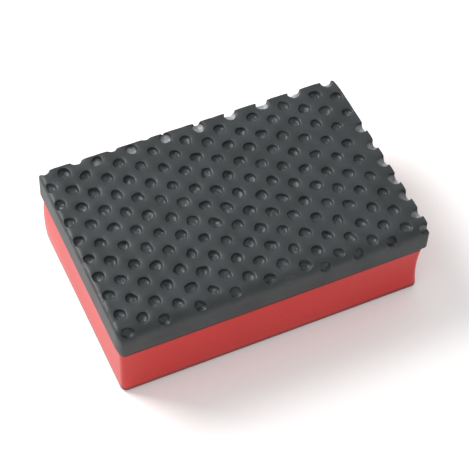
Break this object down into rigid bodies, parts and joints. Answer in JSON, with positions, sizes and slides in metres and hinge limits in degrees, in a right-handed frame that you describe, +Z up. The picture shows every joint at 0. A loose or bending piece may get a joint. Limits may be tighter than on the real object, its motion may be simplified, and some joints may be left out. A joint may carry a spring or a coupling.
{
  "type": "sanding block",
  "caption": "Hand-held surface preparation block: a red foam grip bonded under a dark rubbery pad with a staggered field of round pits.",
  "frame": {"origin": "middle of the footprint, on the flat foam face that the block stands on", "axes": "+X along the length, +Y across the width towards a square-cut long edge, +Z up out of the pitted working face"},
  "size_m": [0.09, 0.059, 0.027],
  "materials": {
    "foam": "fine-celled closed-cell EVA foam, matte",
    "adhesive": "dried contact adhesive, dark red-brown, seen only at the seam",
    "pad_rubber": "moulded cellular rubber, satin skin, smooth pits"
  },
  "bodies": {
    "root": {"foam_block": "foam", "bond_film": "adhesive", "dimpled_pad": "pad_rubber"}
  },
  "joints": []
}
